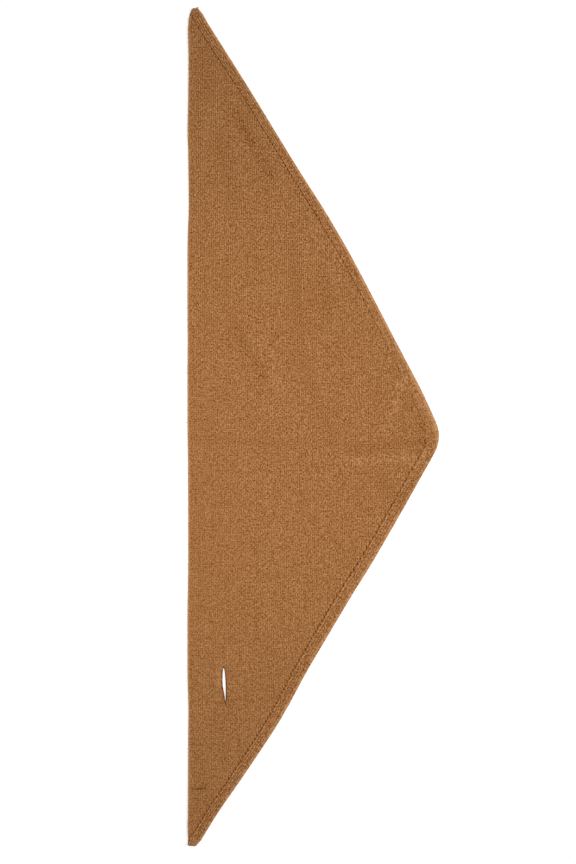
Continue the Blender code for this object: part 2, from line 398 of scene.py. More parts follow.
# The jersey is stretched a little less near the straight edge and in the lower half, so its
# wales and its grain are softer there. Columns: distance down, clearness of the wales by the
# edge and inside, strength of the grain by the edge and inside
HANDLE = (
    (0, 1.45, 1.45, 0.95, 1.0), (480, 1.4, 1.45, 0.95, 1.03), (600, 1.0, 1.15, 0.92, 1.03),
    (720, 0.6, 1.1, 0.84, 1.03), (1050, 0.4, 0.9, 0.78, 0.95), (1150, 0.8, 1.0, 0.8, 0.9),
    (1500, 1.0, 1.0, 0.86, 0.86),
)
EDGE_ZONE, INSIDE_ZONE = 30.0, 130.0  # across, in millimetres


def handle_at(x, y):
    """The clearness of the wales and the strength of the grain at a point of the panel."""
    inside = (x / MM + HALF_DEPTH - EDGE_ZONE) / (INSIDE_ZONE - EDGE_ZONE)
    inside = min(max(inside, 0.0), 1.0)
    near_ribs, far_ribs, near_grain, far_grain = (
        read_table(HANDLE, down_at(y), column) for column in (1, 2, 3, 4)
    )
    ribs = near_ribs + (far_ribs - near_ribs) * inside
    return ribs, near_grain + (far_grain - near_grain) * inside


def panel_span(shell, row, start, end, lips, shared=None):
    """One course between two edges: its points on the face, and its two on the floor.

    lips says which lip each end has. shared is the span before it, where the two spans
    meet in one point.
    """
    y = row["y"]
    top = [shared[0][-1]] if shared else []

    def put(x, height, raised, painted_shade=0.0):
        fold = cloth_height(x, y)
        # Painted shade in the troughs of the folds and the tacking, and painted light on the ridges
        painted_shade -= FOLD_PAINTED_SHADE * fold / MM
        aside = (x - row["line"]) / MM
        top.append(shell.point(x, y, height + fold, wale_at(x), raised, painted_shade, aside, *handle_at(x, y)))

    lip = [place for place in LIP if place[0] * MM < LIP_SHARE * (end - start)]
    if lips[0]:
        for place in lip:
            put(start + place[0] * MM, place[1] * MM, place[2], place[lips[0]])
    elif not shared:
        put(start, WALL, 0.0)
    first = start + (lip[-1][0] * MM if lips[0] else 0.0) + KEEP_CLEAR
    last = end - (lip[-1][0] * MM if lips[1] else 0.0) - KEEP_CLEAR
    third = math.ceil(wale_at(first) * 3)
    while (x := third * THIRD - HALF_DEPTH * MM) <= last:
        put(x, WALL, 1.0)
        third += 1
    if lips[1]:
        for place in reversed(lip):
            put(end - place[0] * MM, place[1] * MM, place[2], place[lips[1]])
    elif end > row["line"] - 2 * SEAM:
        put(end, WALL + LINE_RISE - LINE_DIP * line_strength(y), 0.0)
    else:
        put(end, WALL - CLOSED_DIP, 0.0, CLOSED_SLIT_SHADE)
    foot_x = start + (UNDERCUT if lips[0] else 0.0)
    foot = shared[1][-1] if shared else shell.point(foot_x, y, 0.0, wale_at(start))
    return top, [foot, shell.point(end - UNDERCUT, y, 0.0, wale_at(end))]


# %% [markdown]
# Beside the slit a course is knitted in two spans. In the rows just above and below it,
# and where its lips meet, the two spans share a point, and that closes the slit's ends.

# %% Rows and spans of the panel
NARROWEST = 1.2 * MM  # the panel starts and ends where it is this wide
TROUGH_STEP = 1.2 * MM  # between the three rows of points across a tacking trough
TROUGH_CLEAR = 1.9 * MM  # no other row comes closer than this to the middle of a trough


def panel_places():
    """The y of every row: one for each course, two by the slit, three across each trough."""
    low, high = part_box("body_panel")
    places = [n * COURSE for n in range(math.ceil(low.y / COURSE), int(high.y / COURSE) + 1)]
    slit_high, slit_low = cloth_y(SLIT_LEAN[0][0]), cloth_y(SLIT_LEAN[-1][0])
    places += [p + COURSE / 2 for p in places if slit_low < p < slit_high]
    for down, *_ in TACKS:
        y = cloth_y(down)
        places = [p for p in places if abs(p - y) > TROUGH_CLEAR]
        places += [y - TROUGH_STEP, y, y + TROUGH_STEP]
    return sorted(places)


def panel_spans(shell, row, pinch):
    """The spans of one row: two beside the slit and at its ends, and one elsewhere."""
    left, end = row["left"], row["line"] - SEAM
    if row["slit"]:
        near, far = row["slit"]
        first = panel_span(shell, row, left, near, (EDGE, SLIT))
        return [first, panel_span(shell, row, far, end, (SLIT, NO_LIP))]
    if pinch:
        first = panel_span(shell, row, left, pinch, (EDGE, NO_LIP))
        return [first, panel_span(shell, row, pinch, end, (NO_LIP, NO_LIP), shared=first)]
    return [panel_span(shell, row, left, end, (EDGE, NO_LIP))]


def as_one(spans):
    """Two spans that share a point, as one."""
    if len(spans) == 1:
        return spans
    (top, under), (next_top, next_under) = spans
    return [(top + next_top[1:], under + next_under[1:])]


# %% Zip the panel's rows together
def knit_panel(rows):
    """The panel's shell, zipped together from one row to the next."""
    shell = Shell()
    before = None
    for n, row in enumerate(rows):
        slits = [r["slit"] for r in rows[max(n - 1, 0) : n + 2] if r["slit"]]
        pinch = row["closed"] or (sum(slits[0]) / 2 if slits and not row["slit"] else None)
        spans = panel_spans(shell, row, pinch)
        if before is None:
            shell.faces.append((*spans[0][1], *spans[0][0][::-1]))
        else:
            opens = row["slit"] or rows[n - 1]["slit"]
            beside_slit = opens and len(before) == len(spans)
            pair = (before, spans) if beside_slit else (as_one(before), as_one(spans))
            for (top, under), (next_top, next_under) in zip(*pair):
                shell.zip_rows(top, next_top)
                shell.zip_rows(under, next_under, downward=True)
                shell.faces.append((top[0], next_top[0], next_under[0], under[0]))
                shell.faces.append((top[-1], under[-1], next_under[-1], next_top[-1]))
        before = spans
    shell.faces.append((*before[0][0], *before[0][1][::-1]))
    return shell.build("panel_stitches")


panel_rows = [read_row(y) for y in panel_places()]
panel_rows = [r for r in panel_rows if r["line"] and r["line"] - r["left"] > NARROWEST]
flat_panel = knit_panel(panel_rows)
print("panel:", len(panel_rows), "rows,", len(flat_panel.data.polygons), "faces")

# %% [markdown]
# The border's wales run along the slanted edge: three plain ones beside the fashioning
# line, and then the outermost two, which curl into a soft roll as free jersey does. It is
# made from one section, set across the border again and again from tip to tip. The two
# border solids are knitted as one piece here, because the yarn runs on round the corner.

# %% The section of the border
BORDER_STEP = COURSE / 3
# Where the wales end, as shares of the way out from the fashioning line
UPPER_WALES = (0.05, 0.24, 0.44, 0.66)
LOWER_WALES = (0.04, 0.29, 0.48, 0.67)
LOWER_SHARE = ((730.0, 0.0), (790.0, 1.0))  # round the corner the one set becomes the other
# Heights over the floor and widths, in millimetres
WALE_RIDGE = 0.65
VALLEY = 2.1
ROLL_HEIGHT = 3.7
ROLL_UNDERCUT = 1.2
ROLL_TURNS = (0, 20, 42, 64, 86, 108, 130, 152, 170)  # degrees over the roll, from its valley
DEGREES_A_WALE = 85
RIM_TURN = 45.0  # from here on the roll has the full painted highlight of the rim
LEAST_CURL = 0.6  # the roll keeps this share of its rise where the border's wales fade
SIDE_POINT = (1.0, 0.4 * ROLL_HEIGHT, 5.2, 0.0, 1.0)  # under the roll, at the outline itself
# The roll is painted paler, a painted highlight of its hairs that stand out to the light. Columns:
# distance down, painted shade
RIM_PAINTED_LIGHT = (
    (0, -0.24), (200, -0.30), (350, -0.33), (470, -0.38), (560, -0.44), (745, -0.44),
    (785, -0.18), (1100, -0.19), (1380, -0.22), (1500, -0.14),
)
# The border's wales are painted a little paler on the way to the wide corner. Columns: distance down,
# shade
BORDER_SHADE = ((0, 0.0), (470, 0.0), (540, -0.07), (745, -0.07), (785, 0.0), (1500, 0.0))


def border_profile(down):
    """The section's face. Columns: share of the way out, height, wale, bumps, roll."""
    lower = read_table(LOWER_SHARE, down)
    curl = LEAST_CURL + (1.0 - LEAST_CURL) * read_table(RIB_STRENGTH, down)
    ends = [u + (w - u) * lower for u, w in zip(UPPER_WALES, LOWER_WALES)]
    profile = []
    for n, (start, end) in enumerate(zip(ends, ends[1:])):
        for part in (0.0, 0.25, 0.5, 0.75):
            height = VALLEY + WALE_RIDGE * math.sin(math.pi * part)
            profile.append((start + (end - start) * part, height, n + part, min(part * 4, 1.0), 0.0))
    for turn in ROLL_TURNS:
        angle = math.radians(turn)
        share = 1.0 - (1.0 - ends[-1]) * (0.5 + 0.5 * math.cos(angle))
        height = VALLEY + curl * (ROLL_HEIGHT - VALLEY) * math.sin(angle)
        wale = len(ends) - 1 + turn / DEGREES_A_WALE
        profile.append((share, height, wale, 1.0 if turn else 0.0, min(turn / RIM_TURN, 1.0)))
    return [*profile, SIDE_POINT]


print("the border's section has", len(border_profile(0.0)), "points on its face")

# %% [markdown]
# Beside the panel the section starts in the fashioning line. It reaches a third of a
# millimetre into the panel's edge, because the two are knitted in one, so no floor shows
# between them. Past the panel's ends the border closes the tip by itself, and the section
# starts at the straight edge. The roll goes on round the tip, so the last rows are raised
# as well, and they are squeezed down at the very end.

# %% Where the border's sections lie
# Columns: distance from the end of the tip in millimetres, share of the height left
TIP_SQUEEZE = ((0.0, 0.35), (0.25, 0.45), (0.7, 0.8), (1.3, 0.95), (2.0, 1.0))
TIP_ROLL = 6.5
TIP_SECTIONS = (0.2, 0.6, 1.2)  # extra sections, so far from the end of each tip
SECTION_CLEAR = 0.4 * MM
PAST_PANEL = 0.02 * MM  # the first section without the panel lies this far past its end
panel_end = (panel_rows[0]["y"], panel_rows[-1]["y"])


def border_places():
    """The y of every section, closer together at the tips and at the panel's ends."""
    steps = int(HALF_LENGTH * MM / BORDER_STEP)
    at_tips = [side * (HALF_LENGTH - end) * MM for side in (-1, 1) for end in TIP_SECTIONS]
    places = [n * BORDER_STEP for n in range(-steps, steps + 1)]
    places = [p for p in places if all(abs(p - tip) > SECTION_CLEAR for tip in at_tips)]
    return sorted([*places, *at_tips, panel_end[0] - PAST_PANEL, panel_end[1] + PAST_PANEL])


# %% One section as a ring of points
LINE_TUCK = 0.1  # in the line the border starts this much below the panel's edge
TIP_LIP = ((0.0, 1.1), (0.045, 2.0))  # its start at a tip: share of the width, and height
FADED_RISE, FADED_REACH = 0.4, 1.5  # the rise beside the line where it fades, and its width
FOLDS_END = 0.95  # the folds run this far out, as a share of the border's width
FOOT_SHARE, HEEL_SHARE = 0.25, 0.1  # how far in it rests on the floor, at a narrow tip
FOOT_WALE = 5.5


def border_ring(shell, row):
    """One section of the border, as a closed ring of points."""
    y, side = row["y"], row["side"]
    down = down_at(y)
    on_panel = panel_end[0] <= y <= panel_end[1]
    inner = row["line"] if on_panel else row["left"]
    width = side - inner
    to_end = HALF_LENGTH - abs(y) / MM
    round_tip = 0.0
    if to_end < TIP_ROLL:
        round_tip = VALLEY + (ROLL_HEIGHT - VALLEY) * math.sin(math.pi * to_end / TIP_ROLL)
    low = read_table(TIP_SQUEEZE, to_end) * MM
    ribs = read_table(RIB_STRENGTH, down)
    rim, plain = read_table(RIM_PAINTED_LIGHT, down), read_table(BORDER_SHADE, down)
    no_line = 1.0 - line_strength(y)
    if on_panel:
        floor_of_line = (WALL - LINE_DIP * line_strength(y)) / MM - LINE_TUCK
        lip = ((-2 * SEAM, floor_of_line - 2 * LINE_TUCK), (SEAM, floor_of_line))
    else:
        lip = [(share * width, height) for share, height in TIP_LIP]
    ring = [
        shell.point(inner + x, y, z * low + cloth_height(inner, y), 0.0, 0.0, 0.0, x / MM, ribs)
        for x, z in lip
    ]
    for share, height, wale, bumps, roll in border_profile(down):
        x = inner + share * width
        near = math.exp(-(((x - inner) / MM / FADED_REACH) ** 2)) if on_panel else 0.0
        lift = cloth_height(x, y) if share < FOLDS_END else 0.0
        tip_height = round_tip if share < 1.0 else 0.0
        z = max(height + FADED_RISE * near * no_line, tip_height) * low + lift
        # The rim's painted highlight, the wales' paler tone, and the painted shade and light of the
        # folds
        painted_shade = rim * roll + plain * (1.0 - roll) - FOLD_PAINTED_SHADE * lift / MM
        ring.append(shell.point(x, y, z, wale, bumps, painted_shade, (x - inner) / MM, ribs * (1.0 - roll)))
    foot = side - min(ROLL_UNDERCUT * MM, FOOT_SHARE * width)
    ring.append(shell.point(foot, y, 0.0, FOOT_WALE))
    heel = inner - 3 * SEAM if on_panel else inner + HEEL_SHARE * width
    ring.append(shell.point(heel, y, 0.0, 0.0))
    return ring


# %% Join the sections
def knit_border():
    """The border's shell, from the lower tip to the upper one."""
    shell = Shell()
    rings = [border_ring(shell, read_row(y)) for y in border_places()]
    for ring, upper in zip(rings, rings[1:]):
        for n in range(len(ring)):
            m = (n + 1) % len(ring)
            shell.faces.append((ring[n], ring[m], upper[m], upper[n]))
    shell.faces.append(rings[0][::-1])
    shell.faces.append(rings[-1])
    return shell.build("border_stitches")


flat_border = knit_border()
print("border:", len(flat_border.data.polygons), "faces")

# %% [markdown]
# The wales themselves follow a rule: each stands up between two valleys, and no two
# stitches are quite alike. A rule is work for Geometry Nodes. The next two cells hold short
# helpers for building node trees. The first three serve the materials as well.

# %% Helpers for node trees
def add(tree, kind, *sources, named=None, **settings):
    """Add a node, set it up and feed its inputs, in order or by name.

    A source is a socket to link from or a plain value. Returns the first output.
    """
    node = tree.nodes.new(kind)
    for name, value in settings.items():
        setattr(node, name, value)
    sockets = [s for s in node.inputs if s.enabled]
    feeds = list(zip(sockets, sources))
    for name, source in (named or {}).items():
        feeds.append((next(s for s in sockets if s.name == name), source))
    for socket, source in feeds:
        if isinstance(source, bpy.types.NodeSocket):
            tree.links.new(source, socket)
        elif source is not None:
            socket.default_value = source
    return next(s for s in node.outputs if s.enabled)


def calc(tree, operation, *sources):
    """One step of arithmetic in a node tree."""
    return add(tree, "ShaderNodeMath", *sources, operation=operation)


def wave(tree, operation, source, half_turns):
    """The sine or cosine of a number whose every 1 stands for so many half turns."""
    return calc(tree, operation, calc(tree, "MULTIPLY", source, half_turns * math.pi))


# %% Helpers for trees of Geometry Nodes
def geometry_tree(name, **inputs):
    """A Geometry Nodes tree with named inputs. Returns it with its input sockets."""
    tree = bpy.data.node_groups.new(name, "GeometryNodeTree")
    tree.interface.new_socket("Geometry", in_out="INPUT", socket_type="NodeSocketGeometry")
    for label, kind in inputs.items():
        tree.interface.new_socket(label, in_out="INPUT", socket_type="NodeSocket" + kind)
    tree.interface.new_socket("Geometry", in_out="OUTPUT", socket_type="NodeSocketGeometry")
    start = tree.nodes.new("NodeGroupInput")
    return tree, {socket.name: socket for socket in start.outputs if socket.name}


def close_tree(tree, geometry, material):
    """End a tree: real geometry instead of instances, in its material."""
    real = add(tree, "GeometryNodeRealizeInstances", geometry)
    dressed = add(tree, "GeometryNodeSetMaterial", named={"Geometry": real, "Material": material})
    tree.links.new(dressed, tree.nodes.new("NodeGroupOutput").inputs[0])


def grow(base, tree, name, **values):
    """Run a tree on an object, and keep the result as a plain mesh object."""
    modifier = base.modifiers.new(name, "NODES")
    modifier.node_group = tree
    for item in tree.interface.items_tree:
        if item.in_out == "INPUT" and item.name in values:
            modifier[item.identifier] = values[item.name]
    graph = bpy.context.evaluated_depsgraph_get()
    mesh = bpy.data.meshes.new_from_object(
        base.evaluated_get(graph), preserve_all_data_layers=True, depsgraph=graph
    )
    mesh.name = name
    bpy.data.objects.remove(base)
    print(name, "has", sum(len(p.vertices) - 2 for p in mesh.polygons), "triangles")
    return add_object(name, mesh)


# %% [markdown]
# The yarn is a soft camel blend. It isn't dyed evenly, so one stitch differs a little from
# the next, and its fuzz blurs the stitches. A picture of knitting would do for one size of
# render only. This material draws each stitch from the wale and course counts instead: two
# legs that lean towards each other, as the face of jersey shows, with a noise of fibres
# over them. The height of the legs also drives a bump, too fine to be worth real faces. It
# also paints light on the raised legs and shade between them, and painted shade lies in the
# valleys between the wales, the rungs between the courses and the pits of the fashioning line.

# %% The knitted material
def noise(tree, place, scale, detail):
    """A noise pattern on the object, from 0 to 1. scale counts its features per metre."""
    named = {"Vector": place, "Scale": scale, "Detail": detail, "Roughness": 0.6}
    return add(tree, "ShaderNodeTexNoise", named=named, noise_dimensions="3D")


def attribute(tree, name):
    """A number that each point of a mesh carries."""
    return add(tree, "ShaderNodeAttribute", attribute_name=name).node.outputs["Fac"]


def new_material(name, values):
    """A material with some inputs of its shader set. Returns it and the shader."""
    material = bpy.data.materials.new(name)
    material.use_nodes = True
    shader = material.node_tree.nodes["Principled BSDF"]
    for socket, value in values.items():
        shader.inputs[socket].default_value = value
    return material, shader


def yarn_material(name, sheen):
    """A rough, faintly shining material. Returns it, its tree and its shader."""
    material, shader = new_material(name, {
        "Roughness": 0.9, "Specular IOR Level": 0.2, "Sheen Weight": sheen,
        "Sheen Roughness": 0.6, "Sheen Tint": (0.95, 0.72, 0.48, 1.0),
    })
    return material, material.node_tree, shader


# %% Draw the stitches
WAVER_SCALE = 240.0
WAVER = (0.55, 0.55, 0.0)  # the range in which a noise moves a stitch, in wales and courses
LEG_SLOPE = -1.1  # courses for each wale, from the middle of the wale outwards
STREAK_STEPS = (3.7, 0.035)  # of the streak noise, for each wale and for each course


def stitch_pattern(tree, place):
    """The five patterns of the jersey.

    They are the height of the stitches from 0 to 1, a random number for each leg, the
    painted shade of the valleys between the wales, the painted shade of the rungs between the
    courses, and streaks along the wales.
    """
    counts = add(tree, "ShaderNodeUVMap", uv_map="stitches")
    waver = noise(tree, place, WAVER_SCALE, 2.0).node.outputs["Color"]
    waver = add(tree, "ShaderNodeVectorMath", waver, (0.5, 0.5, 0.5), operation="SUBTRACT")
    waver = add(tree, "ShaderNodeVectorMath", waver, WAVER, operation="MULTIPLY")
    counts = add(tree, "ShaderNodeVectorMath", counts, waver, operation="ADD")
    split = add(tree, "ShaderNodeSeparateXYZ", counts).node
    wale, course = split.outputs["X"], split.outputs["Y"]
    aside = calc(tree, "ABSOLUTE", calc(tree, "SUBTRACT", calc(tree, "FRACT", wale), 0.5))
    lean = calc(tree, "MULTIPLY_ADD", aside, LEG_SLOPE, course)
    along = wave(tree, "SINE", calc(tree, "FRACT", lean), 1)
    leg = wave(tree, "SINE", aside, 2)
    height = calc(tree, "MULTIPLY", calc(tree, "POWER", along, 0.7),
                  calc(tree, "MULTIPLY_ADD", leg, 0.6, 0.4))
    side = calc(tree, "FLOOR", calc(tree, "MULTIPLY", wale, 2.0))
    cell = add(tree, "ShaderNodeCombineXYZ", side, calc(tree, "FLOOR", lean))
    own = add(tree, "ShaderNodeTexWhiteNoise", cell, noise_dimensions="3D")
    ribs = attribute(tree, "ribs")
    # Painted shade in the valleys between the wales
    valley_shade = calc(tree, "MULTIPLY", wave(tree, "COSINE", wale, 2), ribs)
    # Painted shade in the rungs between the courses. Where the wales are clear, the courses are not
    rung_shade = calc(tree, "MULTIPLY", wave(tree, "COSINE", course, 2),
                calc(tree, "MULTIPLY_ADD", ribs, -1.05, 1.9))
    # One wale is paler than the next for a length, as the yarn changes
    across, down = STREAK_STEPS
    across = calc(tree, "MULTIPLY", calc(tree, "FLOOR", wale), across)
    cell = add(tree, "ShaderNodeCombineXYZ", across, calc(tree, "MULTIPLY", course, down))
    streak = add(tree, "ShaderNodeTexNoise", named={"Vector": cell, "Scale": 1.0, "Detail": 0.0})
    return height, own, valley_shade, rung_shade, streak


# %% Draw the fashioning line
DASH_LEAN = 5.6  # from mark to mark a dash crosses the line by this much, in millimetres
DASH_BAND = (0.1, 1.3)  # of the painted shade of the pits: centre past the line and half width, in millimetres
# The band of painted light on the raised loops
LOOP_BAND = (-3.0, 1.6)


def mark_pattern(tree):
    """The painted shade of the pits along the fashioning line, and the painted light on the loops beside
    them, from 0 to 1.
    """
    step = calc(tree, "FRACT", calc(tree, "ADD", attribute(tree, "mark"), 0.5))
    step = calc(tree, "SUBTRACT", step, 0.5)
    aside = calc(tree, "MULTIPLY_ADD", step, -DASH_LEAN, attribute(tree, "aside"))
    along = calc(tree, "DIVIDE", calc(tree, "SUBTRACT", 0.47, calc(tree, "ABSOLUTE", step)), 0.2)
    along = calc(tree, "MINIMUM", calc(tree, "MAXIMUM", along, 0.0), 1.0)
    along = calc(tree, "MULTIPLY", along, attribute(tree, "line"))
    bands = []
    for centre, half_width in (DASH_BAND, LOOP_BAND):
        far = calc(tree, "DIVIDE", calc(tree, "SUBTRACT", aside, centre), half_width)
        near = calc(tree, "SUBTRACT", 1.0, calc(tree, "MULTIPLY", far, far))
        bands.append(calc(tree, "MULTIPLY", calc(tree, "MAXIMUM", near, 0.0), along))
    return bands


# %% The colours of the yarn
MIDDLE_TONE = 0.59
# Columns: tone, from the painted shade between stitches to the palest fibres, and colour
CAMEL = (
    (0.0, (0.053, 0.0156, 0.0019)),
    (0.30, (0.209, 0.0545, 0.0024)),
    (MIDDLE_TONE, (0.392, 0.1605, 0.0465)),
    (1.0, (0.655, 0.342, 0.148)),
)
FIBRE_SCALE = 470.0
FIBRE_SHAPE = (1.0, 0.7, 1.0)  # the fibres are drawn out along the wales


def camel_ramp(tree, tone, gain=1.0):
    """The colour of the yarn for a tone from 0 to 1."""
    ramp = add(tree, "ShaderNodeValToRGB", tone)
    stops = ramp.node.color_ramp.elements
    for n, (at, colour) in enumerate(CAMEL):
        stop = stops[0] if n == 0 else stops[-1] if n == len(CAMEL) - 1 else stops.new(at)
        stop.color = (*(c * gain for c in colour), 1.0)
    return ramp


def knit_material(name, shares):
    """Knitted camel yarn. shares says how much each source adds to its tone."""
    material, tree, shader = yarn_material(name, sheen=0.08)
    place = add(tree, "ShaderNodeTexCoord").node.outputs["Object"]
    height, leg, valley_shade, rung_shade, streak = stitch_pattern(tree, place)
    drawn_out = add(tree, "ShaderNodeVectorMath", place, FIBRE_SHAPE, operation="MULTIPLY")
    fibres = noise(tree, drawn_out, FIBRE_SCALE, 2.0)
    pit_shade, loops = mark_pattern(tree)
    grain = calc(tree, "MULTIPLY", calc(tree, "SUBTRACT", fibres, 0.5), attribute(tree, "grain"))
    # Each source with its mean, so that a share adds contrast and leaves the tone alone
    # The stitch height paints light on the raised legs and shade between them. The valleys, rungs and
    # pits add painted shade, the loops painted light, and each point's own number the painted shade and
    # light of folds, lips, slit and rim and the paler tone of the border's wales
    sources = {
        "height": (height, 0.45),
        "leg": (leg, 0.5),
        "fibres": (grain, 0.0),
        "streak": (streak, 0.5),
        "broad": (noise(tree, place, 16.0, 2.0), 0.5),
        "valley_shade": (valley_shade, 0.0),
        "rung_shade": (rung_shade, 0.0),
        "painted_shade": (attribute(tree, "painted_shade"), 0.0),
        "pit_shade": (pit_shade, 0.0),
        "loops": (loops, 0.0),
    }
    tone = MIDDLE_TONE
    for label, share in shares.items():
        source, mean = sources[label]
        tone = calc(tree, "MULTIPLY_ADD", calc(tree, "SUBTRACT", source, mean), share, tone)
    bump = calc(tree, "MULTIPLY_ADD", fibres, 0.6, height)
    bump = calc(tree, "MULTIPLY_ADD", leg, 0.3, bump)
    normal = add(tree, "ShaderNodeBump", named={"Strength": 0.8, "Distance": 0.5 * MM, "Height": bump})
    tree.links.new(camel_ramp(tree, tone), shader.inputs["Base Color"])
    tree.links.new(normal, shader.inputs["Normal"])
    return material


# %% Make the two knitted materials
JERSEY_SHARES = {
    "height": 0.15, "leg": 0.05, "fibres": 1.78, "streak": 0.06, "broad": 0.03,
    "valley_shade": -0.068, "rung_shade": -0.045, "painted_shade": -0.7, "pit_shade": -0.4, "loops": 0.16,
}
BORDER_SHARES = {**JERSEY_SHARES, "leg": 0.08, "fibres": 2.1, "valley_shade": -0.17, "rung_shade": 0.0}
camel_jersey = knit_material("camel_jersey", JERSEY_SHARES)
camel_border = knit_material("camel_border", BORDER_SHARES)
print("materials:", [m.name for m in (camel_jersey, camel_border)])

# %% [markdown]
# The tree lifts each wale by a sine across its width, adds a small lift of its own to every
# stitch, and lets the whole wale wander sideways, as hand-fed yarn does.

# %% Raise the wales
def wale_tree():
    """The tree that raises the wales of a flat shell."""
    tree, given = geometry_tree(
        "raise_wales", Rib="Float", Bump="Float", Unevenness="Float", Wander="Float",
        Seed="Float", Material="Material",
    )
    wale, course, raised = (
        add(tree, "GeometryNodeInputNamedAttribute", name, data_type="FLOAT")
        for name in ("wale", "course", "raised")
    )
    crest = wave(tree, "SINE", calc(tree, "FRACT", wale), 1)
    rib = calc(tree, "MULTIPLY", crest, given["Rib"])
    rib = calc(tree, "MULTIPLY_ADD", wave(tree, "COSINE", course, 2), given["Bump"], rib)
    stitch = add(tree, "ShaderNodeCombineXYZ", calc(tree, "FLOOR", wale), calc(tree, "ROUND", course),
                 given["Seed"])
    own = calc(tree, "SUBTRACT", add(tree, "ShaderNodeTexWhiteNoise", stitch), 0.5)
    lift = calc(tree, "MULTIPLY", calc(tree, "MULTIPLY_ADD", own, given["Unevenness"], rib), raised)
    drift = add(tree, "ShaderNodeTexNoise", named={"Vector": stitch, "Scale": 0.35, "Detail": 1.0})
    drift = calc(tree, "MULTIPLY", calc(tree, "SUBTRACT", drift, 0.5), given["Wander"])
    drift = calc(tree, "MULTIPLY", drift, raised)
    offset = add(tree, "ShaderNodeCombineXYZ", drift, 0.0, lift)
    moved = add(tree, "GeometryNodeSetPosition", named={"Geometry": given["Geometry"], "Offset": offset})
    close_tree(tree, moved, given["Material"])
    return tree


raise_wales = wale_tree()
body_knit = grow(
    flat_panel, raise_wales, "body_knit", Rib=0.38 * MM, Bump=0.0, Unevenness=0.1 * MM,
    Wander=0.8 * MM, Seed=3.0, Material=camel_jersey,
)
border_knit = grow(
    flat_border, raise_wales, "border_knit", Rib=0.0, Bump=0.12 * MM, Unevenness=0.12 * MM,
    Wander=0.3 * MM, Seed=8.0, Material=camel_border,
)

# %% [markdown]
# The rest is yarn that lies on the cloth as short strands: the loops of the fashioning
# marks, the chain of stitches along each free edge, and the tacking. One tree lays them
# all. It takes points that know which way they face, and sets a strand on each: a bowed
# tube that thins out where it dives into the knit.

# %% A tree that lays strands
def spline_taper(tree, least):
    """Thickness along a strand: full in the middle, and a share of it at the ends."""
    arch = wave(tree, "SINE", add(tree, "GeometryNodeSplineParameter"), 1)
    return calc(tree, "MULTIPLY_ADD", arch, 1.0 - least, least)


def strand_tree(name, sides, steps, least):
    """Strands on points. sides and steps set how fine one strand's mesh is."""
    tree, given = geometry_tree(
        name, Length="Float", Thickness="Float", Rise="Float", Bow="Float", Tilt="Float",
        Unevenness="Float", Seed="Int", Material="Material",
    )
    half = calc(tree, "MULTIPLY", given["Length"], 0.5)
    start = add(tree, "ShaderNodeCombineXYZ", calc(tree, "MULTIPLY", half, -1.0))
    middle = add(tree, "ShaderNodeCombineXYZ", 0.0, given["Bow"], given["Rise"])
    end = add(tree, "ShaderNodeCombineXYZ", half)
    path = add(tree, "GeometryNodeCurveQuadraticBezier", steps, start, middle, end)
    radius = calc(tree, "MULTIPLY", given["Thickness"], 0.5)
    ring = add(tree, "GeometryNodeCurvePrimitiveCircle", named={"Resolution": sides, "Radius": radius})
    strand = add(tree, "GeometryNodeCurveToMesh", path, ring, spline_taper(tree, least), True)
    strand = add(tree, "GeometryNodeSetShadeSmooth", strand)
    turn = add(tree, "GeometryNodeInputNamedAttribute", "turn", data_type="FLOAT")
    low = calc(tree, "MULTIPLY", given["Tilt"], -1.0)
    spin = add(
        tree, "FunctionNodeRandomValue", data_type="FLOAT_VECTOR",
        named={"Min": add(tree, "ShaderNodeCombineXYZ", low, low, low),
               "Max": add(tree, "ShaderNodeCombineXYZ", given["Tilt"], given["Tilt"], given["Tilt"]),
               "Seed": given["Seed"]},
    )
    turned = add(tree, "ShaderNodeCombineXYZ", 0.0, 0.0, turn)
    turned = add(tree, "ShaderNodeVectorMath", turned, spin, operation="ADD")
    size = add(
        tree, "FunctionNodeRandomValue", data_type="FLOAT",
        named={"Min": calc(tree, "SUBTRACT", 1.0, given["Unevenness"]),
               "Max": calc(tree, "ADD", 1.0, given["Unevenness"]), "Seed": given["Seed"]},
    )
    strands = add(
        tree, "GeometryNodeInstanceOnPoints",
        named={"Points": given["Geometry"], "Instance": strand, "Scale": size,
               "Rotation": add(tree, "FunctionNodeEulerToRotation", turned)},
    )
    close_tree(tree, strands, given["Material"])
    return tree


# %% Places for strands, and their yarn
def scatter(places):
    """Points for strands. Each place is x, y, z and the way that it faces, in radians."""
    mesh = bpy.data.meshes.new("places")
    mesh.from_pydata([place[:3] for place in places], [], [])
    turns = mesh.attributes.new("turn", "FLOAT", "POINT").data
    turns.foreach_set("value", [place[3] for place in places])
    return add_object("places", mesh)


def strand_material(name, gain, depth=0.0):
    """Plain twisted yarn, without the stitches. gain is its brightness, low for painted shade, depth a
    deeper tone.
    """
    material, tree, shader = yarn_material(name, sheen=0.1)
    place = add(tree, "ShaderNodeTexCoord").node.outputs["Object"]
    tone = calc(tree, "MULTIPLY_ADD", noise(tree, place, 700.0, 3.0), 1.2, 0.05 - depth)
    tree.links.new(camel_ramp(tree, tone, gain), shader.inputs["Base Color"])
    return material


lay_strands = strand_tree("lay_strands", sides=6, steps=5, least=0.4)
camel_yarn = strand_material("camel_yarn", 1.0)
print("strand tree ready, with", len(lay_strands.nodes), "nodes")

# %% [markdown]
# At each fashioning mark two stitches lie in one place, so a short doubled loop stands up
# on the panel's side of the pit. It leans between the wales and the slant of the edge.

# %% Fashioning marks
MARK_LOOPS = ((2.5, 0.0), (3.6, 0.8))  # how far in from the line, and how far down
MARK_SUNK = 0.1 * MM
NARROW_TIP = 5.0 * MM  # no marks show where the panel is narrower than this
LINE_REACH = 4.0 * MM  # the line's run is taken from so far above and below


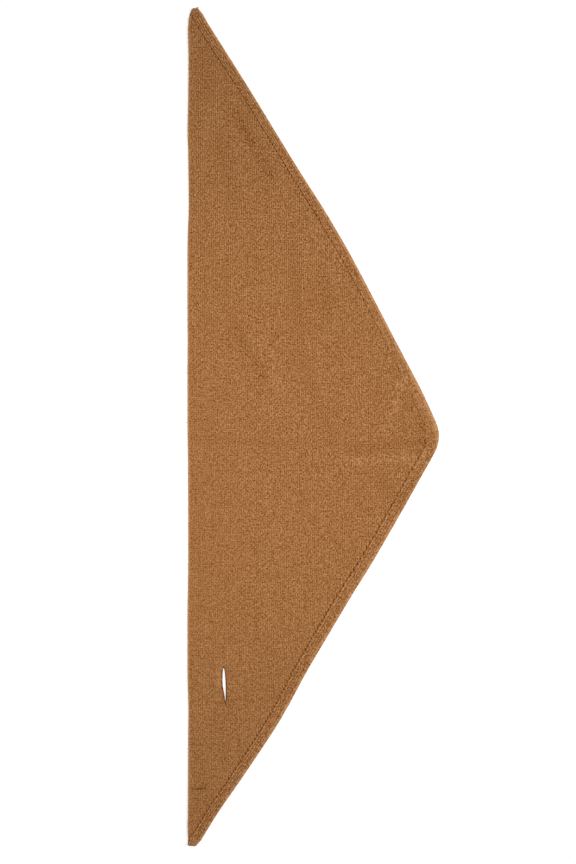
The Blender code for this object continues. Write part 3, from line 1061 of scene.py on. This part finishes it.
def line_at(y):
    """The fashioning line's x at a row, and the way that it runs."""
    here, above, below = (read_row(y + step) for step in (0.0, LINE_REACH, -LINE_REACH))
    if not all(row["line"] for row in (here, above, below)):
        return None, None
    return here["line"], math.atan2(2 * LINE_REACH, above["line"] - below["line"])


mark_places = []
for down in marks:
    y = cloth_y(down)
    x, way = line_at(y)
    if x is None or x - read_row(y)["left"] < NARROW_TIP:
        continue
    z = WALL + cloth_height(x, y) - MARK_SUNK
    lean = way + 0.5 * (math.pi / 2 - way)
    mark_places += [(x - inset * MM, y - lower * MM, z, lean) for inset, lower in MARK_LOOPS]
fashioning_marks = grow(
    scatter(mark_places), lay_strands, "fashioning_marks", Length=4.6 * MM, Thickness=1.0 * MM,
    Rise=0.5 * MM, Bow=0.2 * MM, Tilt=0.12, Unevenness=0.15, Seed=4, Material=camel_yarn,
)

# %% [markdown]
# A selvedge is a chain: its loops span two courses each and overlap like the links of a
# plait. The chain gives the straight edge and the slit their fine beaded look.

# %% Selvedge chains
LOOP = 2 * COURSE
CHAIN_INSET = 0.85 * MM
CHAIN_HEIGHT = 1.75 * MM


def chain(edge, low_y, high_y, inward):
    """Places for one loop every two courses, from row to row. edge gives x at a row."""
    places = []
    for n in range(int((high_y - low_y) / LOOP)):
        y = low_y + (n + 0.5) * LOOP
        x = edge(y)
        if x is not None:
            z = CHAIN_HEIGHT + cloth_height(x, y)
            places.append((x + inward * CHAIN_INSET, y, z, math.pi / 2 * inward))
    return places


def slit_side(side):
    """A function that gives the x of one side of the slit at a row."""
    def edge(y):
        slit = read_row(y)["slit"]
        return slit[side] if slit else None
    return edge


chain_places = chain(lambda y: read_row(y)["left"], panel_end[0], panel_end[1], 1)
selvedge_chain = grow(
    scatter(chain_places), lay_strands, "selvedge_chain", Length=7.4 * MM, Thickness=1.1 * MM,
    Rise=0.4 * MM, Bow=0.4 * MM, Tilt=0.06, Unevenness=0.12, Seed=6, Material=camel_yarn,
)
slit_ys = [row["y"] for row in panel_rows if row["slit"]]
slit_places = chain(slit_side(0), slit_ys[0], slit_ys[-1], -1)
slit_places += chain(slit_side(1), slit_ys[0], slit_ys[-1], 1)
# The slit's chain turns under and lies in shade, so its yarn is painted darker, as painted shade
painted_shade_yarn = strand_material("painted_shade_yarn", 0.55)
slit_chain = grow(
    scatter(slit_places), lay_strands, "slit_chain", Length=7.4 * MM, Thickness=0.9 * MM,
    Rise=0.2 * MM, Bow=0.2 * MM, Tilt=0.06, Unevenness=0.12, Seed=7, Material=painted_shade_yarn,
)

# %% [markdown]
# The tacking is sewn from the hidden side, and only small bites of it show on the face,
# sunk into their trough. Their deeper colour is partly a guessed darker thread and partly
# painted shade of the trough. The lower row ends in a knot, whose tail stands up. A yarn
# end sticks out at the upper tip too, where the knitting began.

# %% Tacking stitches and yarn ends
BITE = 3.0
BITE_HEIGHT = 0.25 * MM
BITE_TURN = 0.1
DOUBLED_FROM = 14.0  # past this the lower row is sewn over again, towards its knot
OVERSEWN = (-0.9, -0.1, 0.7)  # how far down each thread lies there, from the row's middle
KNOT_TURNS = 5
# Darker partly as a guessed thread colour and partly as painted shade of the trough
tack_yarn = strand_material("tack_yarn", 0.75, depth=0.4)
tack_places = []
for down, start, end, _ in TACKS:
    for n in range(int((end - start) / BITE)):
        across = start + (n + 0.5) * BITE
        doubled = down == TACKS[1][0] and across > DOUBLED_FROM
        for thread in OVERSEWN if doubled else (0.0,):
            x, y = (across - HALF_DEPTH) * MM, cloth_y(down + thread)
            tack_places.append((x, y, WALL + cloth_height(x, y) + BITE_HEIGHT, BITE_TURN))
knot_x, knot_y = (TACKS[1][2] - HALF_DEPTH) * MM, cloth_y(TACKS[1][0] - 1.5)
for n in range(KNOT_TURNS):
    tack_places.append((knot_x, knot_y, WALL + (0.1 + 0.12 * n) * MM, 0.5 + n * 0.75))
tack_places.append((knot_x + 0.6 * MM, knot_y + 1.3 * MM, WALL + 0.3 * MM, 1.25))
tacking = grow(
    scatter(tack_places), lay_strands, "tacking", Length=2.5 * MM, Thickness=0.9 * MM,
    Rise=0.5 * MM, Bow=0.1 * MM, Tilt=0.12, Unevenness=0.1, Seed=9, Material=tack_yarn,
)

END_ACROSS, END_DOWN, END_HEIGHT = 17.4, 0.6, 2.2
END_PLIES = ((0.0, 0.0, 1.3), (0.6, 0.8, 1.0), (-0.5, 1.2, 1.7))  # to the right, down, turn
end_x = (END_ACROSS - HALF_DEPTH) * MM
end_places = [
    (end_x + right * MM, cloth_y(END_DOWN + down), (END_HEIGHT + 0.3 * n) * MM, turn)
    for n, (right, down, turn) in enumerate(END_PLIES)
]
yarn_end = grow(
    scatter(end_places), lay_strands, "yarn_end", Length=6.0 * MM, Thickness=1.2 * MM,
    Rise=0.8 * MM, Bow=0.6 * MM, Tilt=0.15, Unevenness=0.15, Seed=2, Material=camel_yarn,
)

# %% [markdown]
# Camel yarn is hairy. Single fibres stand off the edges and lie across the face, and they
# soften every outline. They are strands as well, but thin and three-sided, because there
# are thousands of them.

# %% Fuzz
EDGE_FUZZ_STEP = 1.0 * MM
FIBRES = 6600  # on the edges and the face together
draw = random.Random(17)
fuzz_places = []
y = -HALF_LENGTH * MM + EDGE_FUZZ_STEP
while y < HALF_LENGTH * MM - EDGE_FUZZ_STEP:
    row = read_row(y)
    for x, out in ((row["left"], math.pi), (row["side"], 0.0)):
        inset = draw.uniform(-0.6, 1.0) * MM * (1 if out else -1)
        z = draw.uniform(1.2, 2.6) * MM
        fuzz_places.append((x + inset, y, z, out + draw.uniform(-1.3, 1.3)))
    y += EDGE_FUZZ_STEP * draw.uniform(0.6, 1.4)
while len(fuzz_places) < FIBRES:
    row = draw.choice(panel_rows)
    x = draw.uniform(row["left"], row["side"])
    if row["slit"] and row["slit"][0] < x < row["slit"][1]:
        continue
    z = WALL + cloth_height(x, row["y"]) + draw.uniform(0.4, 0.8) * MM
    y = row["y"] + draw.uniform(-0.5, 0.5) * COURSE
    fuzz_places.append((x, y, z, draw.uniform(0, 2 * math.pi)))
stand_fuzz = strand_tree("stand_fuzz", sides=3, steps=3, least=0.15)
yarn_fuzz = grow(
    scatter(fuzz_places), stand_fuzz, "yarn_fuzz", Length=4.0 * MM, Thickness=0.16 * MM,
    Rise=0.8 * MM, Bow=0.8 * MM, Tilt=0.25, Unevenness=0.4, Seed=12, Material=camel_yarn,
)

# %% [markdown]
# The photograph looks straight down, so the camera does too. It is far away with a long
# lens, which keeps the cloth free of perspective. The picture is 864 pixels high and 1.789
# mm of cloth fill a pixel. The shawl lies a little to the right of the middle.

# %% Camera
PIXEL = 1.789 * MM
PICTURE_HEIGHT = 864
AIM = (-25.27, -4.9)  # the picture's middle on the cloth, in pixels from the shawl's middle
FACE_HEIGHT = 3 * MM
LENS = 100.0
SENSOR = 36.0
camera = bpy.data.cameras.new("camera")
camera.lens = LENS
camera.sensor_width = SENSOR
camera_height = PICTURE_HEIGHT * PIXEL * LENS / SENSOR + FACE_HEIGHT
camera_thing = add_object("camera", camera)
camera_thing.location = (AIM[0] * PIXEL, AIM[1] * PIXEL, camera_height)
bpy.context.scene.camera = camera_thing
print("camera at", [round(x, 3) for x in camera_thing.location])

# %% [markdown]
# The light is a large soft lamp hung over the middle of the cloth, so both tips are a
# little darker, and a weaker soft one low on the right. The second brightens the rolled
# edges that face it, and leaves the left sides of the folds and the slit's right lip in
# shade. The floor is pale and glows faintly, as a light table does, so it stays white.

# %% The two lamps
def lamp(name, kind, energy, place, look_at, **settings):
    """A lamp at a place, turned to what it looks at."""
    data = bpy.data.lights.new(name, kind)
    data.energy = energy
    for setting, value in settings.items():
        setattr(data, setting, value)
    thing = add_object(name, data)
    thing.location = place
    thing.rotation_euler = (Vector(look_at) - Vector(place)).to_track_quat("-Z", "Y").to_euler()
    thing.visible_camera = False


lamp("overhead", "AREA", 8.65, (-0.07, 0.0, 1.24), (-0.07, 0.0, 0.0), shape="DISK", size=0.7)
lamp("from_right", "SUN", 1.4, (2.0, 0.3, 1.2), (0.0, 0.0, 0.0), angle=math.radians(18))

# %% The sky and the floor
world = bpy.data.worlds.new("studio")
world.use_nodes = True
world.node_tree.nodes["Background"].inputs["Color"].default_value = (1.0, 0.99, 0.98, 1.0)
world.node_tree.nodes["Background"].inputs["Strength"].default_value = 0.22
bpy.context.scene.world = world
bpy.context.scene.view_settings.view_transform = "Standard"

HALF_FLOOR = 30.0
floor_mesh = bpy.data.meshes.new("floor")
floor_corners = [(x * HALF_FLOOR, y * HALF_FLOOR, 0) for x, y in ((-1, -1), (1, -1), (1, 1), (-1, 1))]
floor_mesh.from_pydata(floor_corners, [], [(0, 1, 2, 3)])
pale_floor, _ = new_material("pale_floor", {
    "Base Color": (0.9, 0.9, 0.9, 1.0), "Roughness": 0.9, "Specular IOR Level": 0.1,
    "Emission Color": (1.0, 1.0, 1.0, 1.0), "Emission Strength": 0.4,
})
floor_mesh.materials.append(pale_floor)
floor = add_object("floor", floor_mesh)
print("lit by", [light.name for light in bpy.data.lights], "on", pale_floor.name)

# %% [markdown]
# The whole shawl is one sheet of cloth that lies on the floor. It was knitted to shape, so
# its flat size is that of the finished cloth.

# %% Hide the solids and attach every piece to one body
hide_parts("body_panel")
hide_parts("upper_border", "lower_border")
small_pieces = [fashioning_marks, selvedge_chain, slit_chain, tacking, yarn_end, yarn_fuzz]
for piece in (body_knit, border_knit, *small_pieces):
    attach(piece, "root")
